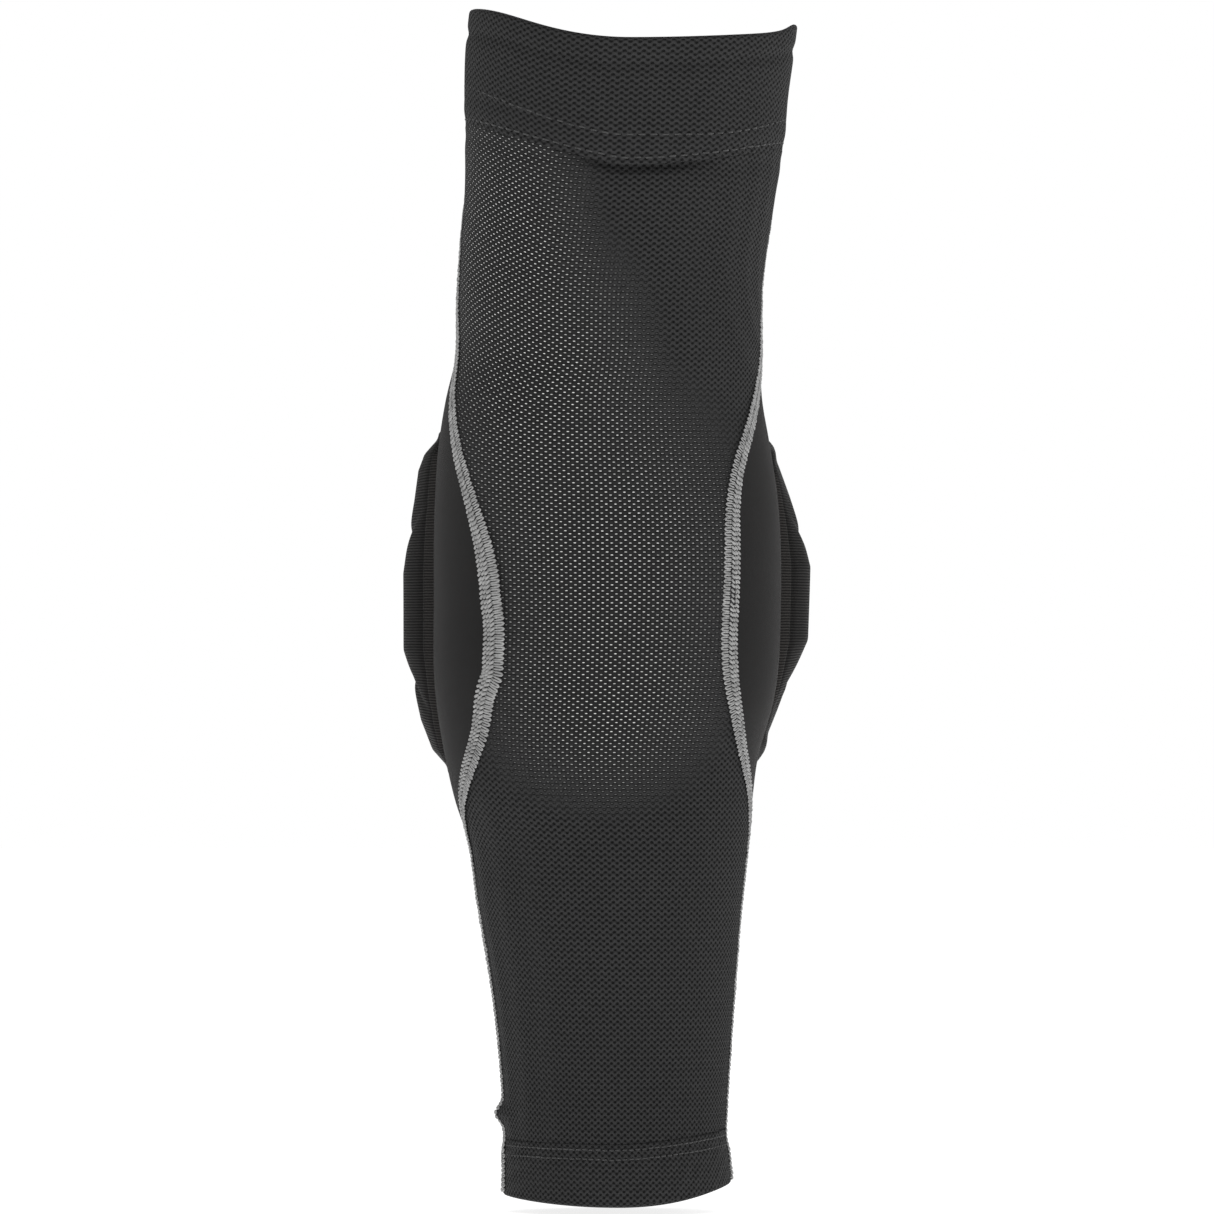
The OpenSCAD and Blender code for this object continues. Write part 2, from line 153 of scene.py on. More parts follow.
def wale_angles(shares, z):
    """Angles of the knit's columns: shares of the girth, measured from the front, at each height."""
    angles = np.linspace(-180, 180, ROUND_SAMPLES)
    reached = travelled(skin(angles[None, :], np.asarray(z)[:, None]), axis=1)
    middle = ROUND_SAMPLES // 2
    rows = []
    for row in reached:
        rows.append(np.interp(shares * row[-1] + row[middle], row, angles))
    return np.array(rows)


def fade(distance, width, power):
    """1 in the middle, falling to 0 at about the width; a higher power makes a flatter top."""
    return np.exp(-((np.abs(distance) / width) ** power))


def sine(angle):
    return np.sin(np.radians(angle))


def smoothstep(low, high, value):
    """0 at low, 1 at high, and a smooth climb between them."""
    t = np.clip((value - low) / (high - low), 0, 1)
    return t * t * (3 - 2 * t)


# Seam lines, as angles by height: on the side line, then swept forward at the elbow.
RIGHT_REACH, LEFT_REACH = 45.0, 48.0
SEAM_BEHIND = 8.0       # degrees that each seam passes behind the side line on the upper arm
CUFF_BEHIND = 9.0       # and further behind it on the upper cuff


def cuff_shift(z):
    return CUFF_BEHIND * smoothstep(112, 132, z)


def right_seam(z):
    z = np.asarray(z, float)
    swept = RIGHT_REACH * fade(z - 2, np.where(z > 2, 59, 57), 3.8)
    behind = SEAM_BEHIND * smoothstep(78, 104, z) + cuff_shift(z)
    return 90 - swept + 0.5 * np.sin(z / 9) + behind


def left_seam(z):
    z = np.asarray(z, float)
    swept = LEFT_REACH * np.where(z > -10, fade(z + 10, 70, 2.7), fade(z + 10, 51, 3.4))
    behind = SEAM_BEHIND * smoothstep(98, 122, z) + cuff_shift(z)
    # A small jog below the elbow, and a drift forward towards the wrist.
    jog = 1.7 * smoothstep(2, -10, z) * smoothstep(-28, -21, z) - 1.2 * fade(z + 31, 6, 2)
    jog = jog + 4 * smoothstep(-80, -110, z) + 4 * smoothstep(-158, -168, z)
    return -90 + swept + 0.25 * np.sin(z / 8 + 1) + jog - behind


# Heights of the rims, stitch rows and hem edges, by angle.
HEM_EDGE_BELOW_ROW = 2.0
LOWER_EDGE_ABOVE_ROW = 1.6
UPPER_ROWS_APART = 7.0
LOWER_ROWS_APART = 2.8


def upper_rim(angle):
    s = sine(angle)
    left = 13.2 * s**2
    left = left / (1 + (left / 11.4) ** 4) ** 0.25
    right = 3.0 * s**2 + 2.8 * np.abs(s) ** 16
    behind = np.clip(-np.cos(np.radians(angle)), 0, 1)
    return 167.0 + np.where(s < 0, left, right) - 1.5 * behind


def lower_rim(angle):
    s = sine(angle)
    behind = np.clip(-np.cos(np.radians(angle)), 0, 1)
    return -181 + np.where(s < 0, 2.4 * s**2, 5.8 * np.abs(s) ** 2.2) + 4.0 * behind


def upper_row_low(angle):
    s = sine(angle)
    return 131.2 + np.where(s < 0, 13.2 * np.abs(s) ** 1.2, 6.0 * np.abs(s) ** 1.9)


def upper_row_high(angle):
    s = sine(angle)
    return 138.1 + np.where(s < 0, 16.2 * np.abs(s) ** 1.5, 6.0 * s**4)


def upper_hem_edge(angle):
    return upper_row_low(angle) - HEM_EDGE_BELOW_ROW


def lower_row_high(angle):
    s = sine(angle)
    return -163.9 + np.where(s > 0, 3.6 * np.abs(s) ** 1.5, 0.6 * np.abs(s))


def lower_row_low(angle):
    return lower_row_high(angle) - LOWER_ROWS_APART


def lower_hem_edge(angle):
    return lower_row_high(angle) + LOWER_EDGE_ABOVE_ROW


# ---- Mesh helpers ----


def to_frame(points):
    """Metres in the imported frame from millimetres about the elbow."""
    return np.asarray(points, float).reshape(-1, 3) * MM + ELBOW


def place(name, data):
    """A new object in the scene."""
    thing = bpy.data.objects.new(name, data)
    bpy.context.scene.collection.objects.link(thing)
    return thing


def build(name, points, faces, uv=None, attributes=None):
    """A smooth-shaded mesh object from millimetre points, with a UV in millimetres of cloth."""
    mesh = bpy.data.meshes.new(name)
    mesh.from_pydata(to_frame(points).tolist(), [], np.asarray(faces).tolist())
    mesh.polygons.foreach_set("use_smooth", np.ones(len(mesh.polygons), bool))
    if uv is not None:
        corner = np.empty(len(mesh.loops), int)
        mesh.loops.foreach_get("vertex_index", corner)
        layer = mesh.uv_layers.new(name="Cloth")
        layer.data.foreach_set("uv", np.asarray(uv, float).reshape(-1, 2)[corner].ravel())
    for key, values in (attributes or {}).items():
        layer = mesh.attributes.new(key, "FLOAT", "POINT")
        layer.data.foreach_set("value", np.asarray(values, float).ravel())
    mesh.update()
    return place(name, mesh)


def grid_faces(rows, columns, closed=False, start=0):
    """Quads of a grid stored row by row, facing outwards when columns run towards +X and rows up."""
    wide = columns if closed else columns - 1
    j, i = np.meshgrid(np.arange(rows - 1), np.arange(wide), indexing="ij")
    a = j * columns + i
    b = j * columns + (i + 1) % columns
    return np.stack([a, b, b + columns, a + columns], axis=-1).reshape(-1, 4) + start


def compact(points, faces, uv):
    """Drops the points that no face uses."""
    used = np.unique(faces)
    renumber = np.full(len(points), -1)
    renumber[used] = np.arange(len(used))
    return points[used], renumber[faces], uv[used]


TUBE_SIDES = 6
TIP = 0.35              # size of a tube's ends next to its middle


def tubes(paths, radius, flat, up):
    """Threads along many paths of equal length, flattened along up and tapered at the ends."""
    count, length, _ = paths.shape
    along = np.gradient(paths, axis=1)
    along /= np.linalg.norm(along, axis=-1, keepdims=True) + 1e-9
    up = np.broadcast_to(up, paths.shape)
    across = np.cross(along, up)
    across /= np.linalg.norm(across, axis=-1, keepdims=True) + 1e-9
    lift = np.cross(across, along)
    taper = np.ones(length)
    taper[0] = taper[-1] = TIP
    turn = np.linspace(0, 2 * np.pi, TUBE_SIDES, endpoint=False)
    ring = (
        across[:, :, None] * np.cos(turn)[None, None, :, None]
        + flat * lift[:, :, None] * np.sin(turn)[None, None, :, None]
    )
    reach = np.broadcast_to(radius, (count,))[:, None] * taper
    points = paths[:, :, None] + ring * reach[:, :, None, None]
    one = grid_faces(length, TUBE_SIDES, closed=True)
    size = length * TUBE_SIDES
    faces = (one[None] + (np.arange(count) * size)[:, None, None]).reshape(-1, 4)
    return points.reshape(-1, 3), faces


def join(*parts):
    """One set of points and faces from several."""
    points, faces, start = [], [], 0
    for some_points, some_faces in parts:
        points.append(some_points)
        faces.append(some_faces + start)
        start += len(some_points)
    return np.concatenate(points), np.concatenate(faces)


# ---- Materials ----

TURN = 2 * math.pi


def shade(colour, factor):
    return tuple(value * factor for value in colour)


class Nodes:
    """A short way to write a node material."""

    def __init__(self, name):
        self.material = bpy.data.materials.new(name)
        self.material.use_nodes = True
        self.tree = self.material.node_tree
        self.shader = self.tree.nodes["Principled BSDF"]

    def add(self, kind, **settings):
        node = self.tree.nodes.new(kind)
        for key, value in settings.items():
            setattr(node, key, value)
        return node

    def link(self, source, target):
        if isinstance(source, (int, float)):
            target.default_value = source
        else:
            self.tree.links.new(source, target)

    def math(self, operation, a, b=0.0, c=0.0, clamp=False):
        node = self.add("ShaderNodeMath", operation=operation, use_clamp=clamp)
        for socket, value in zip(node.inputs, (a, b, c)):
            self.link(value, socket)
        return node.outputs[0]

    def mul(self, a, b):
        return self.math("MULTIPLY", a, b)

    def mad(self, a, b, c):
        """a times b, plus c."""
        return self.math("MULTIPLY_ADD", a, b, c)

    def ramp(self, value, low, high, to_low=0.0, to_high=1.0):
        node = self.add("ShaderNodeMapRange", interpolation_type="SMOOTHSTEP")
        for socket, item in zip(node.inputs, (value, low, high, to_low, to_high)):
            self.link(item, socket)
        return node.outputs[0]

    def colour(self, share, low, high):
        node = self.add("ShaderNodeMix", data_type="RGBA")
        self.link(share, node.inputs["Factor"])
        for socket, value in ((node.inputs[6], low), (node.inputs[7], high)):
            if isinstance(value, tuple):
                socket.default_value = (*value, 1)
            else:
                self.link(value, socket)
        return node.outputs[2]

    def cloth_uv(self):
        uv = self.add("ShaderNodeUVMap", uv_map="Cloth")
        split = self.add("ShaderNodeSeparateXYZ")
        self.link(uv.outputs[0], split.inputs[0])
        return split.outputs[0], split.outputs[1]

    def noise(self, scale, detail, roughness=0.6):
        """Noise over the object's own space, in features per metre."""
        where = self.add("ShaderNodeTexCoord")
        node = self.add("ShaderNodeTexNoise")
        self.link(where.outputs["Object"], node.inputs["Vector"])
        node.inputs["Scale"].default_value = scale
        node.inputs["Detail"].default_value = detail
        node.inputs["Roughness"].default_value = roughness
        return node.outputs[0]

    def wave(self, value, period, kind="SINE"):
        """A wave from 0 to 1."""
        return self.mad(self.math(kind, self.mul(value, TURN / period)), 0.5, 0.5)

    def bump(self, height, distance, strength):
        node = self.add("ShaderNodeBump")
        self.link(height, node.inputs["Height"])
        node.inputs["Distance"].default_value = distance
        node.inputs["Strength"].default_value = strength
        self.link(node.outputs[0], self.shader.inputs["Normal"])

    def finish(self, colour, rough, sheen=0.0, sheen_tint=(1, 1, 1), sheen_rough=0.4, specular=0.3):
        if isinstance(colour, tuple):
            self.shader.inputs["Base Color"].default_value = (*colour, 1)
        else:
            self.link(colour, self.shader.inputs["Base Color"])
        self.link(rough, self.shader.inputs["Roughness"])
        self.shader.inputs["Sheen Weight"].default_value = sheen
        self.shader.inputs["Sheen Roughness"].default_value = sheen_rough
        self.shader.inputs["Sheen Tint"].default_value = (*sheen_tint, 1)
        self.shader.inputs["Specular IOR Level"].default_value = specular
        return self.material


WALES = 108             # knit columns round the sleeve
COURSE = 1.78           # height of one knit row, holes in alternate columns half a row apart
KNIT_DIMPLE = 0.22      # depth of the holes in the knit


def knit_material(name, yarn, light, lit_holes):
    """Half-drop mesh knit. The cloth UV counts wales across and courses up: one cell is one unit."""
    n = Nodes(name)
    wale, course = n.cloth_uv()
    across = n.math("COSINE", n.mul(wale, TURN))
    up = n.math("COSINE", n.mul(course, TURN))
    lattice = n.mad(n.mul(across, up), 0.5, 0.5)
    hole = n.ramp(lattice, 0.6, 0.92)
    # Loops: zigzag ridges that dip at each hole's column.
    fold = n.math("ABSOLUTE", n.math("SUBTRACT", n.math("FRACT", wale), 0.5))
    loops = n.wave(n.math("ADD", fold, course), 1.0, "COSINE")
    fibre = n.noise(2600, 4)
    cloud = n.noise(45, 2)
    # Each loop stands up between the holes, and no two are quite alike. The tone follows the loops' relief:
    # their raised middles are painted lighter, a painted highlight.
    between = n.mul(n.math("SUBTRACT", 1.0, lattice), 0.67)
    cells = n.mad(loops, 0.33, between)
    uneven = n.mul(n.noise(650, 1), 0.5)
    tone = n.mad(cells, 0.9, n.mad(fibre, 0.45, uneven))
    body = n.colour(n.ramp(tone, 0.45, 1.25), shade(yarn, 0.4), shade(yarn, 2.0))
    body = n.colour(n.mul(cloud, 0.35), body, shade(yarn, 0.8))
    if lit_holes:
        glow = n.add("ShaderNodeAttribute", attribute_name="dash_light").outputs["Fac"]
        speckle = n.ramp(n.noise(700, 2), 0.25, 0.7, 0.45, 1.0)
        # The light comes through each hole as a short level dash.
        wide = n.math("POWER", n.math("ABSOLUTE", across), 0.5)
        wide = n.mul(n.math("SIGN", across), wide)
        flat = n.mul(up, n.math("ABSOLUTE", up))
        core = n.ramp(n.mul(wide, flat), 0.66, 0.9)
        dash = n.math("MULTIPLY", n.math("MULTIPLY", glow, speckle), core, clamp=True)
        # Seen against the light, the yarn round the holes looks darker.
        body = n.colour(n.math("MULTIPLY", glow, 0.6, clamp=True), body, shade(yarn, 0.35))
        # Painted shade: the holes are painted darker than the yarn round them.
        body = n.colour(hole, body, shade(yarn, 0.15))
        colour = n.colour(dash, body, light)
    else:
        # Painted shade: the holes are painted darker than the yarn round them.
        colour = n.colour(hole, body, shade(yarn, 0.22))
    height = n.math("SUBTRACT", n.mul(cells, 0.8), hole)
    n.bump(n.mad(fibre, 0.25, height), 0.0004, 0.8)
    return n.finish(colour, 0.85, sheen=0.03, specular=0.2)


def jersey_material(name, colour, across_mm=1.0, up_mm=1.0):
    """Smooth jersey with very fine upright lines. The two scales turn its UV into millimetres."""
    n = Nodes(name)
    across, up = n.cloth_uv()
    across = n.mul(across, across_mm)
    up = n.mul(up, up_mm)
    lines = n.math("SINE", n.mul(across, TURN * 4))
    rows = n.math("SINE", n.mul(up, TURN * 3))
    weave = n.mad(rows, 0.3, lines)
    fibre = n.noise(1800, 4)
    cloud = n.mul(n.noise(30, 2), 0.5)
    tone = n.mad(weave, 0.12, n.mad(fibre, 0.8, cloud))
    mixed = n.colour(n.ramp(tone, 0.25, 1.1), shade(colour, 0.72), shade(colour, 1.3))
    n.bump(n.mad(weave, 0.5, fibre), 0.00012, 0.35)
    return n.finish(mixed, 0.75, sheen=0.05, sheen_tint=(1.0, 0.96, 0.95), sheen_rough=0.5, specular=0.2)


def ribbed_material(name, colour, pitch):
    """Ribbed cover cloth, slightly shiny and slightly warm. The cloth UV is in millimetres."""
    n = Nodes(name)
    across, up = n.cloth_uv()
    wander = n.mul(n.noise(60, 1), 0.6)
    rib = n.wave(n.math("ADD", up, wander), pitch)
    ticks = n.wave(across, 0.55)
    fibre = n.noise(1500, 3)
    grain = n.mad(fibre, 0.35, n.mul(ticks, 0.1))
    # The ribs' crests are painted lighter and their troughs darker, a painted highlight and shade, over the
    # cloth's own fibre grain.
    tone = n.ramp(n.mad(rib, 0.75, grain), 0.2, 1.05)
    mixed = n.colour(tone, shade(colour, 0.1), shade(colour, 2.1))
    # The piped border catches more light than the pad's face.
    border = n.ramp(across, 2.6, 4.0, 1.0, 0.0)
    mixed = n.colour(border, mixed, n.colour(tone, colour, shade(colour, 5.5)))
    n.bump(n.mad(ticks, 0.12, rib), 0.0003, 0.8)
    return n.finish(mixed, 0.6, sheen=0.02, sheen_tint=(1.0, 0.95, 0.9), sheen_rough=0.4, specular=0.16)


def thread_material(name, colour, spread):
    """Twisted sewing thread, whose tone varies by the spread either way."""
    n = Nodes(name)
    fibre = n.noise(2200, 4, 0.7)
    broad = n.noise(260, 2)
    tone = n.mad(broad, 0.6, n.mul(fibre, 0.7))
    mixed = n.colour(n.ramp(tone, 0.4, 0.95), shade(colour, 1 - spread), shade(colour, 1 + spread))
    n.bump(fibre, 0.00015, 0.6)
    return n.finish(mixed, 0.7, sheen=0.2, specular=0.25)


def plain_material(name, colour, rough, grain, bump_mm, specular):
    """Moulded or foamed stock with a grain."""
    n = Nodes(name)
    cells = n.noise(grain, 4)
    mixed = n.colour(n.ramp(cells, 0.3, 0.7), shade(colour, 0.75), shade(colour, 1.25))
    n.bump(cells, bump_mm * MM, 0.6)
    return n.finish(mixed, n.ramp(cells, 0.3, 0.7, rough * 0.85, rough * 1.1), specular=specular)


def woven_elastic_material(name, colour):
    """Flat elastic with fine ribs round the arm."""
    n = Nodes(name)
    where = n.add("ShaderNodeTexCoord")
    split = n.add("ShaderNodeSeparateXYZ")
    n.link(where.outputs["Object"], split.inputs[0])
    ribs = n.wave(split.outputs[2], 0.0011)
    mixed = n.colour(ribs, shade(colour, 0.5), shade(colour, 1.3))
    n.bump(ribs, 0.0003, 0.6)
    return n.finish(mixed, 0.75, sheen=0.2)


KNIT = knit_material("mesh_knit", (0.0208, 0.0208, 0.0211), (0.95, 0.95, 0.94), True)
HEM_KNIT = knit_material("hem_knit", (0.0215, 0.0215, 0.0218), (0.5, 0.5, 0.5), False)
JERSEY = jersey_material("stretch_jersey", (0.0100, 0.0096, 0.0096))
# The cuffs' UV counts wales and courses. A wale is about 2.75 mm of the girth.
HEM_JERSEY = jersey_material("hem_jersey", (0.0124, 0.012, 0.012), 2.75, COURSE)
COVER = ribbed_material("ribbed_cover", (0.0082, 0.0076, 0.0072), 0.85)
SEAM_THREAD = thread_material("seam_thread", (0.375, 0.375, 0.372), 0.35)
HEM_THREAD = thread_material("hem_thread", (0.060, 0.060, 0.060), 0.4)
PAD_THREAD = thread_material("pad_thread", (0.045, 0.044, 0.043), 0.4)
SILICONE = plain_material("silicone_grip", (0.02, 0.02, 0.021), 0.35, 500, 0.05, 0.5)
FOAM = plain_material("closed_cell_foam", (0.05, 0.05, 0.055), 0.9, 1400, 0.15, 0.2)
ELASTIC = woven_elastic_material("woven_elastic", (0.05, 0.05, 0.05))
LINER = jersey_material("pad_liner_cloth", (0.028, 0.028, 0.028))


def dress(thing, material):
    """Gives a piece its material."""
    thing.data.materials.clear()
    thing.data.materials.append(material)
    return thing


def bend(thing):
    """Bakes a piece's placement into its points; used for all that crosses the elbow."""
    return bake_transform(thing)


# ---- Knit panel ----


def knit_dip(wale, course):
    """How far into a hole of the knit a point lies, from 0 to 1."""
    lattice = 0.5 + 0.5 * np.cos(TURN * wale) * np.cos(TURN * course)
    return smoothstep(0.55, 1.0, lattice)


ROW_SLOPE = 0.31
SLEEVE_RADIUS = 46.0    # turns angles on the sleeve into distances
PAD_RADIUS = 54.0       # and on the pad


def row_lift(angle, z):
    """How far the knit's rows climb: level in the middle, and skewed on the upper left side."""
    across = np.radians(angle) * SLEEVE_RADIUS
    left = np.logaddexp(0, (-across - 20) / 6) * 6
    right = np.logaddexp(0, (across - 30) / 6) * 6
    skew = ROW_SLOPE * left * (0.2 + 0.8 * smoothstep(0, 90, z))
    return skew - 0.1 * right * smoothstep(40, 110, z)


# Places where light comes through the holes: middle X, middle Z, half-width, half-height.
LIT_ZONES = ((-30, 108, 25, 52), (-19, 62, 33, 50), (-1, 12, 42, 56), (-2, -30, 34, 30))


def dash_light(points):
    """How brightly the holes show, by place on the front."""
    unlit = np.ones(len(points))
    for x, z, wide, tall in LIT_ZONES:
        reach = np.hypot((points[:, 0] - x) / wide, (points[:, 2] - z) / tall)
        unlit *= smoothstep(0.15, 1.25, reach)
    return 1 - unlit


PANEL_TOP, PANEL_BOTTOM = 146.0, -168.0
CUFF_SINK = 0.75        # how deep the panels lie under the cuffs
HEM_PUCKER = 2.6        # depth of the pucker under the upper hem
BACK_PUCKER = 0.8       # and of the one behind
PUCKER_ANGLE = 8.0      # the pucker's middle, and its reach each way
PUCKER_REACH = 27.0
COLUMNS_PER_WALE = 4
FRONT_SHARE = 0.33      # the knit covers this share of the girth each way, then is cut at the seams
SEAM_LAP = np.degrees(1.2 / SLEEVE_RADIUS)      # the panels run on under the seam's thread, in degrees


def front_panel():
    z = np.arange(PANEL_BOTTOM, PANEL_TOP, COURSE / 2)
    half = int(WALES * COLUMNS_PER_WALE * FRONT_SHARE)
    shares = np.arange(-half, half + 1) / (WALES * COLUMNS_PER_WALE)
    angle = wale_angles(shares, z)
    wale = np.broadcast_to(shares * WALES, angle.shape)
    heights = np.broadcast_to(z[:, None], angle.shape)
    course = (heights - row_lift(angle, heights)) / COURSE
    out = -KNIT_DIMPLE * knit_dip(wale, course) + crease_relief(angle, heights) - under_cuffs(angle, heights)
    points = skin(angle, heights, out).reshape(-1, 3)
    inside = (angle > left_seam(heights) - SEAM_LAP) & (angle < right_seam(heights) + SEAM_LAP)
    faces = grid_faces(len(z), len(shares))
    faces = faces[inside.ravel()[faces].all(axis=1)]
    uv = np.stack([wale, course], axis=-1).reshape(-1, 2)
    points, faces, uv = compact(points, faces, uv)
    panel = build("front_mesh_panel", points, faces, uv, {"dash_light": dash_light(points)})
    dress(panel, KNIT)
    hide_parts("mesh_panel_upper", "mesh_panel_elbow", "mesh_panel_forearm")
    return bend(panel)


def crease_relief(angle, z, pucker_depth=HEM_PUCKER):
    """Slight swells and creases of the worn cloth."""
    turn = np.radians(angle)
    above_edge = z - upper_hem_edge(angle)
    # Soft drag lines that run from the seams towards the elbow.
    drag = 0.35 * np.sin(z / 13 + 2.2 * np.sin(turn)) * fade(z, 70, 4)
    drag = drag - 0.6 * fade(above_edge + 3.0, 2.6, 2)
    long_swell = 0.25 * np.sin(z / 31 + angle / 23)
    # The sides ease out under the upper hem, so that the outline runs on smoothly.
    ease = 0.5 * fade(np.abs(angle) - 80, 22, 4) * fade(above_edge + 2, 9, 2)
    pucker = pucker_depth * fade(angle - PUCKER_ANGLE, PUCKER_REACH, 4) * fade(above_edge + 0.8, 1.5, 2)
    relief = drag * np.cos(turn / 2) ** 2 + long_swell * np.clip(1 - np.abs(z) / 160, 0, 1)
    return relief - pucker + ease


def under_cuffs(angle, z):
    """How far the panels sink where a cuff covers them."""
    upper = smoothstep(-0.4, 1.6, z - upper_hem_edge(angle))
    lower = smoothstep(-0.4, 1.6, lower_hem_edge(angle) - z)
    return CUFF_SINK * (upper + lower)


def back_panel():
    """Jersey from the right seam round the back to the left seam."""
    rows, columns = 420, 170
    z = np.linspace(PANEL_BOTTOM, PANEL_TOP, rows)[:, None]
    share = np.linspace(0, 1, columns)[None, :]
    start, end = right_seam(z) - SEAM_LAP, 360 + left_seam(z) + SEAM_LAP
    angle = start + (end - start) * share
    heights = np.broadcast_to(z, angle.shape)
    relief = crease_relief(angle - 180, heights, BACK_PUCKER) * np.sin(np.pi * share)
    points = skin(angle, heights, -0.12 + relief - under_cuffs(angle, heights))
    uv = np.stack([travelled(points, axis=1), heights], axis=-1)
    panel = build("back_jersey_panel", points, grid_faces(rows, columns), uv)
    dress(panel, JERSEY)
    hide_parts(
        "back_panel_upper", "back_panel_elbow", "back_panel_forearm",
        "side_gusset_left", "side_gusset_right",
    )
    return bend(panel)


# ---- Flatlock seams ----

SEAM_WIDTH = 5.2
STITCH_PITCH = 1.42
THREAD_SCALE = 0.86     # the threads' size next to the shapes below
COVER_THREAD = 0.47     # radii of the threads
LOOP_THREAD = 0.31


def seam_frames(line, z):
    """Centre points along a seam with unit vectors along it, across it towards +X, and outwards."""
    on_lower_cuff = smoothstep(-161, -166, z) * 0.6
    on_upper_cuff = smoothstep(0, 2, z - upper_hem_edge(line(z)) + 0.5) * 0.85
    centre = skin(line(z), z, -0.1 + (on_lower_cuff + on_upper_cuff))
    along = np.gradient(centre, axis=0)
    along /= np.linalg.norm(along, axis=1, keepdims=True)
    out = outward(line(z), z)
    across = np.cross(along, out)
    across /= np.linalg.norm(across, axis=1, keepdims=True)
    out = np.cross(across, along)
    return centre, along, across, out


def seam_spread(mesh_side, z):
    """How much wider each seam is pulled where it crosses the elbow."""
    if mesh_side < 0:
        return 1 + 0.22 * fade(z + 2, 32, 4)
    return 1 + 0.5 * smoothstep(36, 6, z) - 0.2 * smoothstep(-28, -46, z) - 0.3 * smoothstep(-52, -72, z)


def flatlock(name, line, mesh_side, top, bottom, nodes):
    """Interlaced covering threads: two rows of beads and a chain, and loops on the mesh side."""
    heights = np.linspace(bottom, top, 900)
    length = travelled(skin(line(heights), heights))
    stations = np.arange(0.8, length[-1] - 0.8, STITCH_PITCH)
    z = np.interp(stations, length, heights)
    centre, along, across, out = seam_frames(line, z)
    rng = np.random.default_rng(7 if mesh_side < 0 else 8)
    spread = seam_spread(mesh_side, z)
    across = across * mesh_side * spread[:, None]
    half = SEAM_WIDTH / 2

    def threads(shape, radius, flat):
        """One thread per stitch, through points (towards the mesh, along the seam, height)."""
        shape = np.asarray(shape, float) * (1, THREAD_SCALE, THREAD_SCALE)
        paths = (
            centre[:, None] + across[:, None] * shape[None, :, :1]
            + along[:, None] * shape[None, :, 1:2] + out[:, None] * shape[None, :, 2:]
        )
        shake = rng.normal(0, 0.05, (len(centre), 1, 3))
        return tubes(paths + shake, THREAD_SCALE * radius * np.sqrt(spread), flat, out[:, None])

    beads = []
    for near in (-half - 0.1, -half + 0.85):
        bead = [
            (near, -0.62, -0.15), (near + 0.3, -0.42, 0.3), (near + 0.62, 0.0, 0.42),
            (near + 0.95, 0.42, 0.3), (near + 1.2, 0.6, -0.15),
        ]
        beads.append(threads(bead, COVER_THREAD, 0.8))
    link = [
        (-half * 0.34, -0.75, 0.1), (-half * 0.2, -0.35, 0.5), (0.0, 0.1, 0.55),
        (half * 0.12, 0.55, 0.4), (half * 0.1, 0.85, 0.05),
    ]
    chain = threads(link, COVER_THREAD, 0.85)
    loop = [
        (half * 0.05, -0.5, 0.1), (half * 0.4, -0.5, 0.42), (half * 0.8, -0.46, 0.4),
        (half * 1.02, -0.3, 0.3), (half * 1.1, 0.02, 0.24), (half * 1.02, 0.34, 0.3),
        (half * 0.8, 0.48, 0.4), (half * 0.4, 0.5, 0.42), (half * 0.05, 0.5, 0.1),
    ]
    loops = threads(loop, LOOP_THREAD, 0.9)
    points, faces = join(*beads, chain, loops)
    seam = build(name, points, faces)
    dress(seam, SEAM_THREAD)
    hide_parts(*nodes)
    return bend(seam)


def seams():
    for side, line, mesh_side in (("left", left_seam, 1), ("right", right_seam, -1)):
        edge = -90 if side == "left" else 90
        flatlock(
            f"{side}_flatlock_seam", line, mesh_side,
            float(upper_rim(edge)) - 1.5, float(lower_rim(edge)) + 1.0,
            [f"{side}_seam_upper", f"{side}_seam_elbow", f"{side}_seam_forearm"],
        )


# ---- Cuffs ----

RIM_RADIUS = 1.15       # the round fold at the rim
HEM_LIP = 0.2           # how far the cuff's edge stands off the sleeve
HEM_RISE = 6.0          # the cuff reaches its full thickness this far from its edge
SIDE_SINK = 0.18        # the hem stitches lie this much deeper at the sides, where the cloth rolls over them


